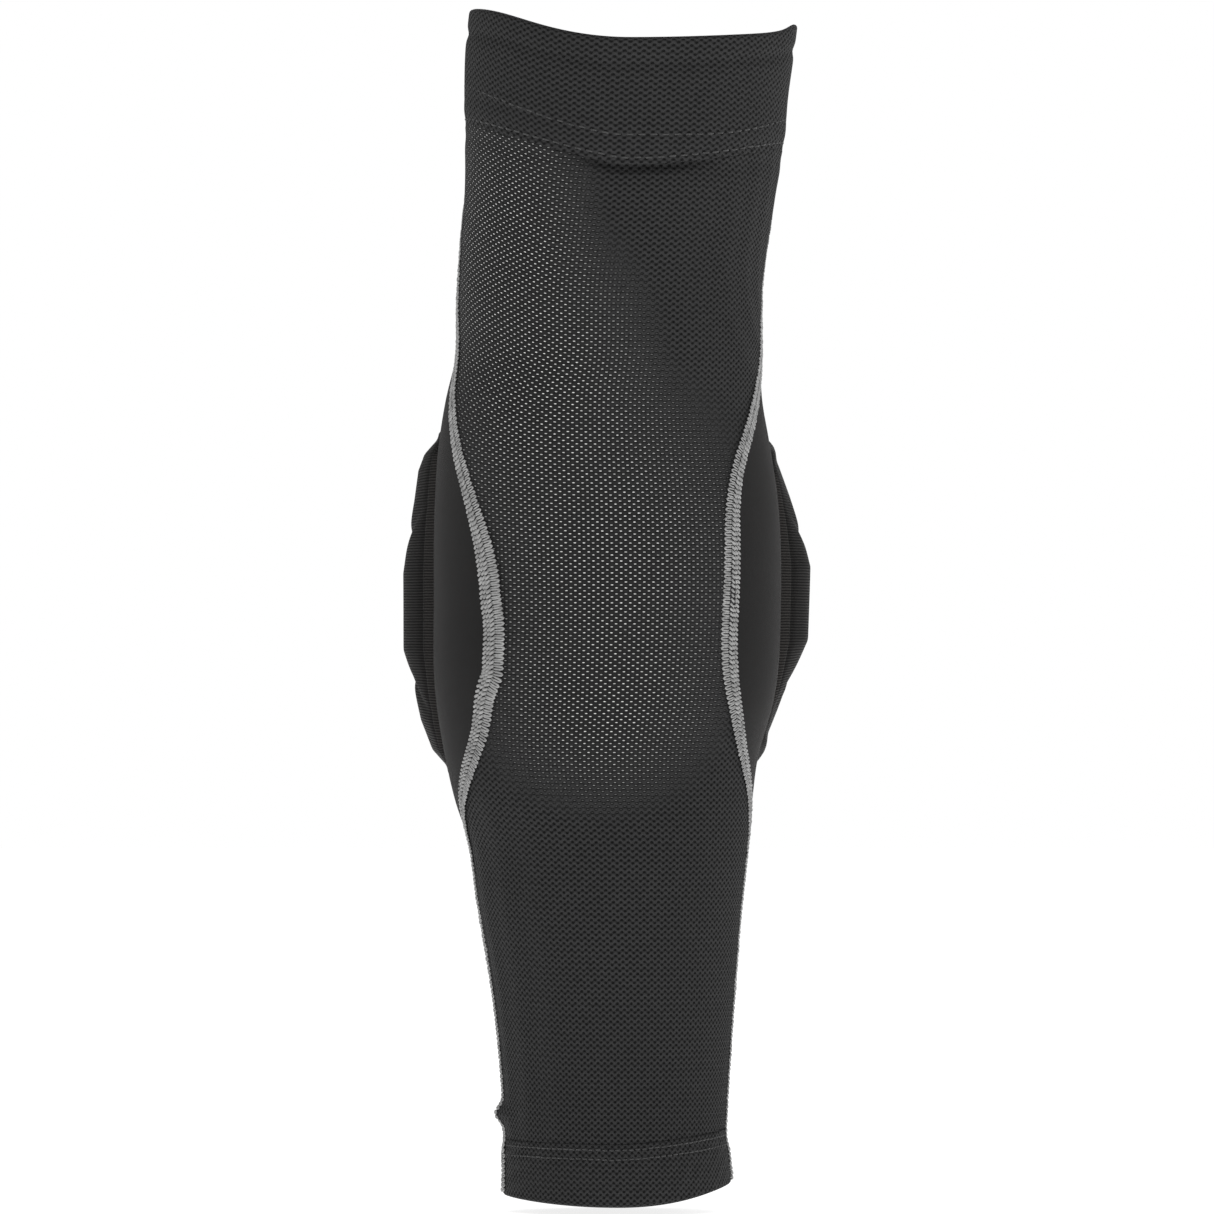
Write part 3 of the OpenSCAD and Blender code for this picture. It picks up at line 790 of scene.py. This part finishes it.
def cuff(name, edge, rim, facing_depth, out, nodes, body):
    """A doubled hem: cloth outside, round fold at the rim, turned-in facing inside. One closed ring."""
    up = 1 if rim(0) > edge(0) else -1
    depth = abs(float(rim(0) - edge(0)))
    rows = int(round(depth / (COURSE / 2)))
    columns = WALES * COLUMNS_PER_WALE
    shares = np.arange(columns) / columns - 0.5
    level = float(rim(0) + edge(0)) / 2
    angle = wale_angles(shares, [level])[0]
    knit = (angle > left_seam(level)) & (angle < right_seam(level))
    wale = shares * WALES
    low, high = edge(angle), rim(angle) - up * RIM_RADIUS
    grids, courses = [], []

    def ring(z, stand, course):
        grids.append(skin(angle, z, stand))
        courses.append(np.broadcast_to(course, (columns,)))

    for sink in (1.0, 0.5):
        ring(low, HEM_LIP - sink, 0.0)
    for row in range(rows + 1):
        share = row / rows
        z = low + (high - low) * share
        course = (z - row_lift(angle, z)) / COURSE
        dimples = KNIT_DIMPLE * knit_dip(wale, course) * knit
        stand = HEM_LIP + (out - HEM_LIP) * smoothstep(0, HEM_RISE, share * depth)
        ring(z, stand + hem_pull(angle, share, depth, up) - dimples, course)
    for turn in np.radians([25, 55, 90, 125, 155]):
        rise, back = RIM_RADIUS * math.sin(turn), RIM_RADIUS * (1 - math.cos(turn))
        ring(high + up * rise, out - back, course + turn)
    inner = out - 2 * RIM_RADIUS
    for share in np.linspace(0, 1, 12):
        ring(high - up * facing_depth * share, inner, course + 4 + share * facing_depth / COURSE)
    ring(high - up * facing_depth, inner + 0.6, courses[-1])
    faces = grid_faces(len(grids), columns, closed=True)
    if up < 0:
        faces = faces[:, ::-1]
    uv = np.stack([np.tile(wale, len(grids)), np.concatenate(courses)], axis=-1)
    thing = build(name, np.concatenate(grids), faces, uv)
    dress(thing, HEM_KNIT)
    thing.data.materials.append(HEM_JERSEY)
    behind = ~knit[faces[:, 0] % columns]
    thing.data.polygons.foreach_set("material_index", behind.astype(int))
    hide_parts(*nodes)
    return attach(thing, body)


def at_side(angle):
    """1 along the two side lines, where the outline runs, and 0 in front and behind."""
    return smoothstep(0.8, 0.98, np.abs(sine(angle)))


def hem_pull(angle, share, depth, up):
    """The stitch rows draw the hem in slightly, less so at the sides, and its edge ripples."""
    from_edge = share * depth
    ripple = 0.10 * np.sin(np.radians(angle) * 41) + 0.07 * np.sin(np.radians(angle) * 67 + 1)
    tight = 0.28 * (1 - 0.8 * at_side(angle))
    second = HEM_EDGE_BELOW_ROW + (UPPER_ROWS_APART if up > 0 else LOWER_ROWS_APART)
    pull = -tight * math.exp(-((from_edge - HEM_EDGE_BELOW_ROW) / 0.9) ** 2)
    pull = pull - tight * math.exp(-((from_edge - second) / 1.0) ** 2)
    if up > 0:
        # The turned edge inside shows as a soft crease below the rim.
        pull -= 0.6 * math.exp(-((depth - 7.0 - from_edge) / 1.8) ** 2)
    return pull + ripple * math.exp(-from_edge / 8)


STITCH = np.array([0, 0.12, 0.5, 0.88, 1.0])    # places along a stitch
HEM_ARCH = np.array([-0.55, 0.1, 0.3, 0.1, -0.55])  # and its heights there, in millimetres
STITCH_SHAKE = 0.06


def hem_stitches(name, rows, pitch, length, radius, node, body):
    """Stitches along rows. Each row gives its height by angle, and how far out it lies."""
    parts = []
    rng = np.random.default_rng(21)
    for row, out in rows:
        fine = np.linspace(-180, 180, 2400)
        reached = travelled(skin(fine, row(fine), out))
        count = int(reached[-1] / pitch)
        starts = np.arange(count) * reached[-1] / count
        stops = starts[:, None] + STITCH * length + rng.normal(0, STITCH_SHAKE, (count, 1))
        angle = np.interp(stops, reached, fine)
        up = outward(angle, row(angle))
        z = row(angle) + rng.normal(0, STITCH_SHAKE, (count, 1))
        paths = skin(angle, z, out - SIDE_SINK * at_side(angle)) + up * HEM_ARCH[:, None]
        parts.append(tubes(paths, radius, 0.8, up))
    points, faces = join(*parts)
    thread = build(name, points, faces)
    dress(thread, HEM_THREAD)
    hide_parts(node)
    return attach(thread, body)


GRIP_GRID = (22, 420)
GRIP_THICKNESS = 0.3
GRIP_BEAD = 0.35


def grip(name, low, high, out, node, body):
    """A silicone band inside the cuff with a printed wave of raised beads."""
    rows, columns = GRIP_GRID
    z = np.linspace(low, high, rows)[:, None]
    angle = np.linspace(-180, 180, columns, endpoint=False)[None, :]
    share = (z - low) / (high - low)
    wave = np.cos(np.radians(angle) * 24) * 0.5 + 0.5
    lines = np.cos(TURN * (share * 3 + 0.25 * wave))
    rise = GRIP_BEAD * smoothstep(0.1, 0.8, lines)
    inner = skin(angle, z, out - GRIP_THICKNESS - rise)
    back = skin(angle, z, np.full((rows, columns), out))
    points = np.concatenate([inner, back[::-1]]).reshape(-1, 3)
    faces = grid_faces(2 * rows, columns, closed=True)[:, ::-1]
    closing = grid_faces(2, columns, closed=True)
    last = (2 * rows - 1) * columns
    closing = np.where(closing >= columns, closing - columns, closing + last)
    band = build(name, points, np.concatenate([faces, closing[:, ::-1]]))
    dress(band, SILICONE)
    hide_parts(node)
    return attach(band, body)


def cuffs():
    cuff("upper_cuff", upper_hem_edge, upper_rim, 35, 0.75, ["upper_hem_facing"], "upper_arm")
    cuff("lower_cuff", lower_hem_edge, lower_rim, 15, 0.45, ["lower_hem_facing"], "forearm")
    hem_stitches(
        "upper_cuff_stitches", [(upper_row_low, 0.22), (upper_row_high, 0.5)], 3.6, 2.3, 0.27,
        "upper_hem_stitches", "upper_arm",
    )
    hem_stitches(
        "lower_cuff_stitches", [(lower_row_high, 0.1), (lower_row_low, 0.25)], 2.0, 1.5, 0.24,
        "lower_hem_stitches", "forearm",
    )
    grip("upper_grip", 142, 156, -1.75, "upper_grip_band", "upper_arm")
    grip("lower_grip", -174, -163, -2.0, "lower_grip_band", "forearm")
    for node in ("upper_hem_elastic", "lower_hem_elastic"):
        dress(frame["nodes"][node], ELASTIC)


# ---- Pad ----

PAD_START = 100.0       # angle at which the pad's stitched edge starts
PAD_FLANGE = 1.7        # width of the piped edge
GROOVES = (18.2, -21.8)     # heights of the two grooves between the lobes
GROOVE_DEPTH = 5.3      # over the back
# Outline of the pad seen from the front, as height and distance from the middle: the arm is turned a
# little, so the left side shows all three lobes and the right side shows a cut-off corner.
LEFT_OUTLINE = (
    (-50, 46.6), (-45, 51.8), (-36, 55.7), (-23, 58.8), (-15, 61.9), (8, 62.0),
    (17, 60.4), (30, 57.9), (39, 56.6), (44, 54.4), (48.5, 49.6),
)
RIGHT_OUTLINE = ((-40, 47.4), (-29, 51.8), (-12, 61.0), (10, 61.8), (16, 60.0), (31, 54.4), (42, 50.0))
# Upper and lower end of the pad at its left side, its right side and the middle of the back.
PAD_LEFT_REACH = (48.5, -50.0)
PAD_RIGHT_REACH = (42.0, -40.0)
PAD_BACK_REACH = (60.0, -62.0)
OUTLINE_SINE = 0.925    # where the rounded side stands furthest out
GROOVE_FAN = 0.55       # how much further from the middle each groove meets the sewn edge
PAD_CORNER = 8.0        # rounding of the pad's corners
PAD_BASE = 0.6          # height of the cover where it is sewn down


def edge_distance(angle):
    """Distance round the arm from the pad's nearer sewn edge."""
    return np.radians(np.minimum(angle - PAD_START, 360 - PAD_START - angle)) * PAD_RADIUS


def pad_ends(angle):
    """Upper and lower ends of the pad by angle: taller along the middle of the back."""
    turn = np.radians(angle)
    behind = smoothstep(0.0, 1.0, -np.cos(turn))
    right = smoothstep(-0.9, 0.9, np.sin(turn))
    short = np.clip(1 - edge_distance(angle) / PAD_CORNER, 0, 1)
    corner = PAD_CORNER * (1 - np.sqrt(1 - short**2))
    ends = []
    for left_end, right_end, back_end in zip(PAD_LEFT_REACH, PAD_RIGHT_REACH, PAD_BACK_REACH):
        side = left_end + (right_end - left_end) * right
        ends.append(side + (back_end - side) * behind - math.copysign(1, back_end) * corner)
    return ends


def side_thickness(angle, z):
    """Thickness of the pad's sides that gives the outline."""
    middle = (section(z, 1) + section(z, 2)) / 2
    half = (section(z, 2) - section(z, 1)) / 2
    thick = []
    for outline, sign in ((LEFT_OUTLINE, -1), (RIGHT_OUTLINE, 1)):
        heights, reach = np.array(outline).T
        thick.append(np.interp(z, heights, reach) / OUTLINE_SINE - half - sign * middle)
    right = sine(angle) > 0
    return np.maximum(np.where(right, thick[1], thick[0]), 0.8)


def shoulder(share):
    """A rounded climb from 0 to 1."""
    share = np.clip(share, 0, 1)
    return (1 - (1 - share) ** 2.4) ** (1 / 2.4)


def groove_line(height, from_side):
    """Each groove runs level over the back and fans out towards the sewn edge."""
    return height * (1 + GROOVE_FAN * smoothstep(13.0, 1.0, from_side))


def groove_side_depths(angle):
    """Depth of the two grooves at the pad's sides: the right side hardly shows them."""
    right = sine(angle) > 0
    return np.where(right, 0.15, 0.5), np.where(right, 0.3, 0.9)


def pad_height(angle, z):
    """Thickness of the pad above the sleeve."""
    high, low = pad_ends(angle)
    behind = np.clip(-np.cos(np.radians(angle)), 0, 1)
    from_side = edge_distance(angle)
    # The side wall climbs to a piped ridge, dips at a crease and then rounds over.
    ridge = 0.27 * shoulder((from_side - 0.3) / 1.0) - 0.07 * fade(from_side - 1.9, 0.55, 2)
    wall = ridge + 0.73 * np.sin(np.pi / 2 * np.clip((from_side - PAD_FLANGE) / 11.0, 0, 1)) ** 0.9
    mid, half = (high + low) / 2, (high - low) / 2
    along = np.abs(z - mid) / half
    end_wall = shoulder((1 - along) * half / 8)
    crown = (11.5 + 8.0 * behind**1.4) * (1 - 0.24 * np.clip(along, 0, 1) ** 2.5)
    across = smoothstep(0.12, 0.95, behind)
    body = side_thickness(angle, z) * (1 - across) + crown * across
    groove = np.zeros_like(z)
    for height, side_depth in zip(GROOVES, groove_side_depths(angle)):
        here = np.exp(-np.abs((z - groove_line(height, from_side)) / 2.4) ** 1.6)
        groove = np.maximum(groove, here * (side_depth + (GROOVE_DEPTH - side_depth) * across))
    end_wall = end_wall * across + shoulder((1 - along) * half / 3) * (1 - across)
    return np.maximum(PAD_BASE + wall * end_wall * (body - groove - PAD_BASE), PAD_BASE)


def pad_grid(rows, columns):
    """Angles and heights of the cover's points."""
    share = np.linspace(0, 1, columns)[None, :]
    # Columns crowd towards the side walls.
    share = share - 0.62 * np.sin(TURN * share) / TURN
    angle = PAD_START + (360 - 2 * PAD_START) * np.broadcast_to(share, (rows, columns))
    high, low = pad_ends(angle)
    up = np.linspace(0, 1, rows)[:, None]
    z = low + (high - low) * up
    return angle, z


SIM_ROWS, SIM_COLUMNS = 92, 116
SIM_FRAMES = 18
SIM_PRESSURE = 4.0
SWELL_CAP = 1.5         # how far the simulation may move a point, in millimetres


def swell(points, faces, pinned):
    """Inflates a sheet as cloth, held where it is sewn, and returns the moved points."""
    sheet = build("pad_sim", points, faces)
    held = sheet.vertex_groups.new(name="sewn")
    for weight in np.unique(pinned[pinned > 0]):
        held.add(np.nonzero(pinned == weight)[0].tolist(), float(weight), "REPLACE")
    cloth = sheet.modifiers.new("Cloth", "CLOTH")
    cloth.settings.vertex_group_mass = "sewn"
    cloth.settings.quality = 6
    cloth.settings.mass = 0.25
    cloth.settings.tension_stiffness = 22
    cloth.settings.compression_stiffness = 22
    cloth.settings.shear_stiffness = 8
    cloth.settings.bending_stiffness = 1.2
    cloth.settings.use_pressure = True
    cloth.settings.uniform_pressure_force = SIM_PRESSURE
    cloth.settings.effector_weights.gravity = 0
    cloth.collision_settings.use_collision = False
    cloth.point_cache.frame_start = 1
    cloth.point_cache.frame_end = SIM_FRAMES
    scene = bpy.context.scene
    for step in range(1, SIM_FRAMES + 1):
        scene.frame_set(step)
    final = sheet.evaluated_get(bpy.context.evaluated_depsgraph_get())
    moved = np.empty(len(final.data.vertices) * 3)
    final.data.vertices.foreach_get("co", moved)
    moved = (moved.reshape(-1, 3) - ELBOW) / MM
    scene.frame_set(1)
    bpy.data.objects.remove(sheet)
    shift = moved - points
    size = np.linalg.norm(shift, axis=1, keepdims=True)
    return points + shift * np.minimum(1, SWELL_CAP / np.maximum(size, 1e-6))


def refine(values, rows, columns):
    """Doubles a grid by smooth cubic steps between its points, along both directions."""
    def once(grid):
        padded = np.concatenate([2 * grid[:1] - grid[1:2], grid, 2 * grid[-1:] - grid[-2:-1]])
        middle = (-padded[:-3] + 9 * padded[1:-2] + 9 * padded[2:-1] - padded[3:]) / 16
        out = np.empty((2 * len(grid) - 1,) + grid.shape[1:])
        out[::2] = grid
        out[1::2] = middle
        return out
    grid = values.reshape(rows, columns, -1)
    return once(once(grid).swapaxes(0, 1)).swapaxes(0, 1)


def pad():
    """The ribbed cover, inflated as cloth, with the blocks inside and the stitching round it."""
    rows, columns = SIM_ROWS, SIM_COLUMNS
    angle, z = pad_grid(rows, columns)
    points = skin(angle, z, pad_height(angle, z)).reshape(-1, 3)
    faces = grid_faces(rows, columns)
    edge = np.ones((rows, columns))
    edge[3:-3, 7:-7] = 0
    for height in GROOVES:
        edge = np.maximum(edge, np.exp(-((z - groove_line(height, edge_distance(angle))) / 1.6) ** 2))
    points = swell(points, faces, np.round(edge.ravel(), 2))
    fine = refine(points, rows, columns)
    rows, columns = fine.shape[:2]
    # The cloth's own measure: in from the nearer sewn edge, and up from the level of the elbow.
    across = travelled(fine, axis=1)
    across = np.minimum(across, across[:, -1:] - across)
    up = travelled(fine, axis=0)
    up = up - [np.interp(0, fine[:, column, 2], up[:, column]) for column in range(columns)]
    cover = build("pad_cover", fine, grid_faces(rows, columns), np.stack([across, up], axis=-1))
    dress(cover, COVER)
    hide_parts("upper_pad_cover", "elbow_cup_cover", "lower_pad_cover")
    bend(cover)
    pad_insides()
    pad_edge()


INSIDE_GAP = 1.6        # from the foam to the cover
INSIDE_MARGIN = 4.5     # degrees from the pad's sewn edge to the foam
INSIDE_END_GAP = 4.0
GROOVE_GAP = 2.5        # from a groove to the foam
LINER_LOW, LINER_HIGH = 0.25, 0.9
FOAM_LOW, FOAM_LEAST_HIGH = 1.05, 1.3


def pad_insides():
    """The foam blocks and the liners behind them."""
    limits = {
        "upper_pad": (GROOVES[0] + GROOVE_GAP, PAD_BACK_REACH[0]),
        "elbow_cup": (GROOVES[1] + GROOVE_GAP, GROOVES[0] - GROOVE_GAP),
        "lower_pad": (PAD_BACK_REACH[1], GROOVES[1] - GROOVE_GAP),
    }
    rows, columns = 26, 60
    first, last = PAD_START + INSIDE_MARGIN, 360 - PAD_START - INSIDE_MARGIN
    for lobe, (low_limit, high_limit) in limits.items():
        angle = first + (last - first) * np.broadcast_to(np.linspace(0, 1, columns), (rows, columns))
        high, low = pad_ends(angle)
        low = np.maximum(low + INSIDE_END_GAP, low_limit)
        high = np.minimum(high - INSIDE_END_GAP, high_limit)
        z = low + (high - low) * np.linspace(0, 1, rows)[:, None]
        foam_high = np.maximum(pad_height(angle, z) - INSIDE_GAP, FOAM_LEAST_HIGH)
        foam = slab(f"{lobe}_foam_block", angle, z, FOAM_LOW, foam_high)
        dress(foam, FOAM)
        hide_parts(f"{lobe}_foam")
        liner = slab(f"{lobe}_liner_block", angle, z, LINER_LOW, LINER_HIGH)
        dress(liner, LINER)
        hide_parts(f"{lobe}_liner")
        for block in (foam, liner):
            if lobe == "elbow_cup":
                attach(block, "elbow_cup")
            else:
                bend(block)


def slab(name, angle, z, low, high):
    """A closed slab on the sleeve, between two heights above it."""
    rows, columns = angle.shape
    count = rows * columns
    shell = np.concatenate([skin(angle, z, high).reshape(-1, 3), skin(angle, z, low).reshape(-1, 3)])
    face = grid_faces(rows, columns)
    faces = [face, face[:, ::-1] + count]
    for line in border_lines(rows, columns):
        a, b = line[:-1], line[1:]
        faces.append(np.stack([b, a, a + count, b + count], axis=-1))
    return build(name, shell, np.concatenate(faces))


def border_lines(rows, columns):
    """Point numbers round a grid's border, anticlockwise from outside."""
    top = (rows - 1) * columns
    return [
        np.arange(columns),
        np.arange(rows) * columns + columns - 1,
        top + np.arange(columns)[::-1],
        np.arange(rows)[::-1] * columns,
    ]


EDGE_INSET = 1.3        # from the pad's sewn edge to its stitches
EDGE_PITCH, EDGE_LENGTH = 2.4, 1.7
EDGE_ARCH = np.array([-0.4, 0.12, 0.28, 0.12, -0.4])


def pad_edge():
    """Edge stitching all round the pad, on its flat border."""
    inset = np.degrees(EDGE_INSET / PAD_RADIUS)
    right, left = PAD_START + inset, 360 - PAD_START - inset
    across, rise = np.linspace(right, left, 400), np.linspace(0, 1, 160)
    # Along the lower edge, up the left side, back along the upper edge and down the right side.
    angle = np.concatenate([across, np.full(160, left), across[::-1], np.full(160, right)])
    up = np.concatenate([np.zeros(400), rise, np.ones(400), rise[::-1]])
    high, low = pad_ends(angle)
    z = low + EDGE_INSET + (high - low - 2 * EDGE_INSET) * up
    reached = travelled(skin(angle, z, 0.9))
    starts = np.arange(0, reached[-1] - EDGE_PITCH, EDGE_PITCH)
    stations = starts[:, None] + STITCH * EDGE_LENGTH
    angle, z = np.interp(stations, reached, angle), np.interp(stations, reached, z)
    out = outward(angle, z)
    points, faces = tubes(skin(angle, z, 0.8) + out * EDGE_ARCH[:, None], 0.24, 0.85, out)
    thread = build("pad_edge_stitches", points, faces)
    dress(thread, PAD_THREAD)
    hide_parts("upper_pad_stitches", "elbow_cup_stitches", "lower_pad_stitches")
    bend(thread)


# ---- Stage ----

VIEW_WIDTH = 364.5      # millimetres across the picture at the sleeve
CAMERA_AWAY = 4.0       # metres
CAMERA_DROP = 2.1       # millimetres that the camera stands below the middle of the elbow
# Area lights: name, place from the middle of the elbow, size and power.
LIGHTS = (
    ("key", (0.1, -1.7, 1.2), 1.0, 10),
    ("fill", (1.1, -1.5, 0.2), 1.4, 4),
    ("rim_left", (-1.2, 0.5, 0.5), 0.6, 1.0),
    ("rim_right", (1.2, 0.6, 0.4), 0.6, 1.2),
    ("back", (0.2, 1.9, 1.1), 1.2, 9),
)


def floor():
    size, level = 6.0, cad_low.z - 0.002
    mesh = bpy.data.meshes.new("floor")
    corners = [(-size, -size, level), (size, -size, level), (size, size, level), (-size, size, level)]
    mesh.from_pydata(corners, [], [(0, 1, 2, 3)])
    n = Nodes("pale_floor")
    n.shader.inputs["Emission Color"].default_value = (1, 1, 1, 1)
    n.shader.inputs["Emission Strength"].default_value = 0.82
    mesh.materials.append(n.finish((0.86, 0.86, 0.86), 0.9, specular=0.1))
    place("floor", mesh)


def backdrop():
    """White to the camera, and a softer light to the object."""
    world = bpy.data.worlds.new("studio")
    world.use_nodes = True
    nodes, links = world.node_tree.nodes, world.node_tree.links
    background = nodes["Background"]
    background.inputs[0].default_value = (1, 1, 1, 1)
    path = nodes.new("ShaderNodeLightPath")
    strength = nodes.new("ShaderNodeMapRange")
    strength.inputs["To Min"].default_value = 0.27
    strength.inputs["To Max"].default_value = 1.0
    links.new(path.outputs["Is Camera Ray"], strength.inputs["Value"])
    links.new(strength.outputs[0], background.inputs[1])
    bpy.context.scene.world = world
    bpy.context.scene.view_settings.view_transform = "Standard"


def lights():
    for name, offset, size, power in LIGHTS:
        data = bpy.data.lights.new(name, "AREA")
        data.shape = "SQUARE"
        data.size = size
        data.energy = power
        light = place(name, data)
        light.location = Vector(ELBOW) + Vector(offset)
        light.rotation_euler = (Vector(ELBOW) - light.location).to_track_quat("-Z", "Y").to_euler()


def camera():
    data = bpy.data.cameras.new("camera")
    data.sensor_width = 36
    data.lens = data.sensor_width * CAMERA_AWAY / (VIEW_WIDTH * MM)
    data.clip_end = 50
    eye = place("camera", data)
    eye.location = Vector(ELBOW) + Vector((0, -CAMERA_AWAY, -CAMERA_DROP * MM))
    eye.rotation_euler = (math.pi / 2, 0, 0)
    bpy.context.scene.camera = eye


front_panel()
back_panel()
seams()
cuffs()
pad()
floor()
backdrop()
lights()
camera()
